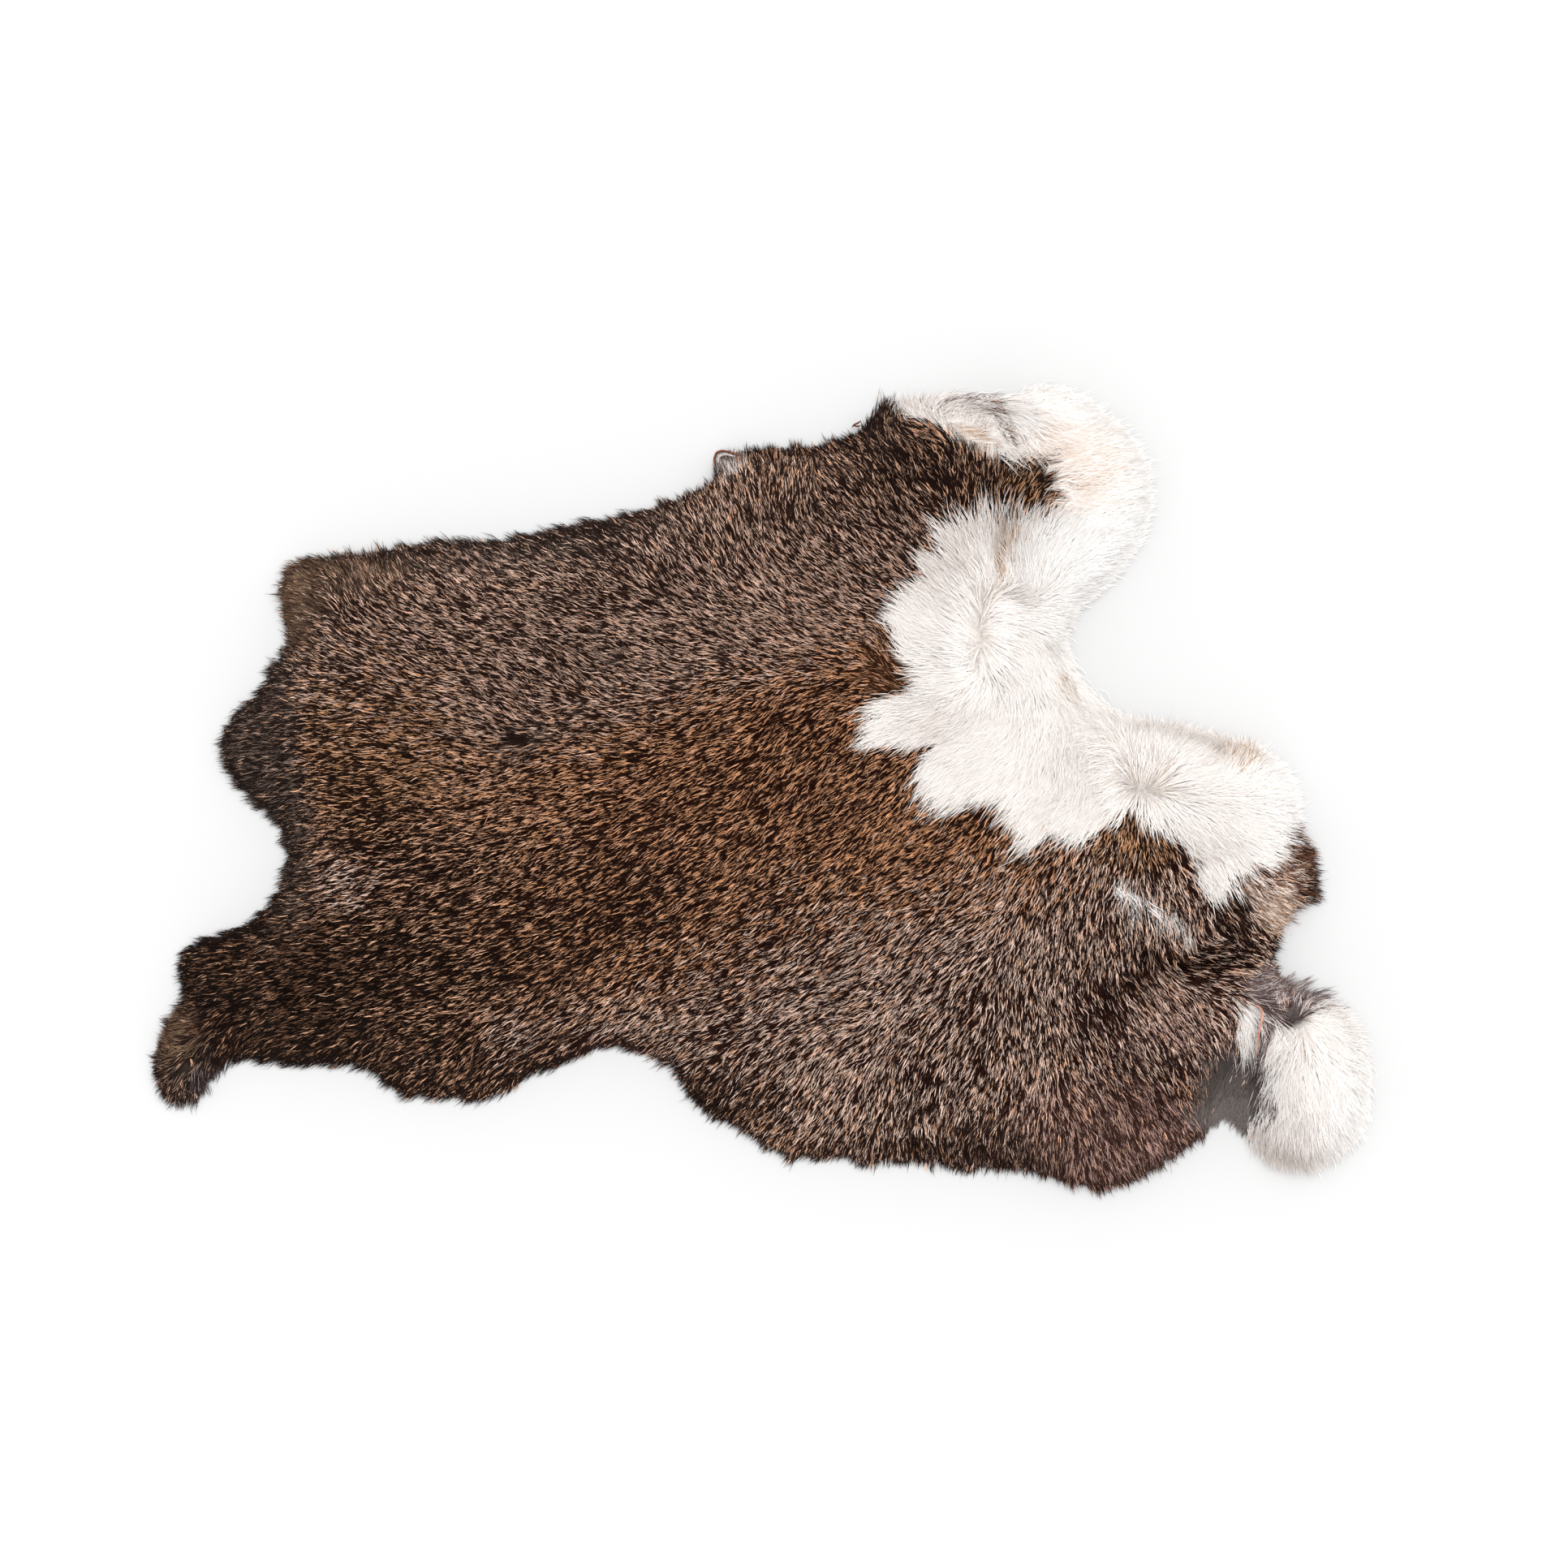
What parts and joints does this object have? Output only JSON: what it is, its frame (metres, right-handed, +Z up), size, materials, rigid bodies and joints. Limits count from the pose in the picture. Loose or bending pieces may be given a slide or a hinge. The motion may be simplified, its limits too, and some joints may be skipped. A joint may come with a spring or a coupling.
{
  "type": "rabbit skin",
  "caption": "Flat tanned rabbit skin with its fur up: brown ticked pile with a white flank and shoulder, an irregular edge of short locks and a tail puff at one corner.",
  "frame": {"origin": "on the surface the skin lies on, under the middle of its box", "axes": "+X along the skin's length, towards the rump and the tail; +Y across it, towards the white shoulder; +Z up, out of the fur"},
  "size_m": [0.4282, 0.283, 0.0376],
  "materials": {
    "fur": "soft matte pile, brown ticked with tan, and ivory white markings"
  },
  "bodies": {
    "root": {"pelt": "fur"}
  },
  "joints": []
}
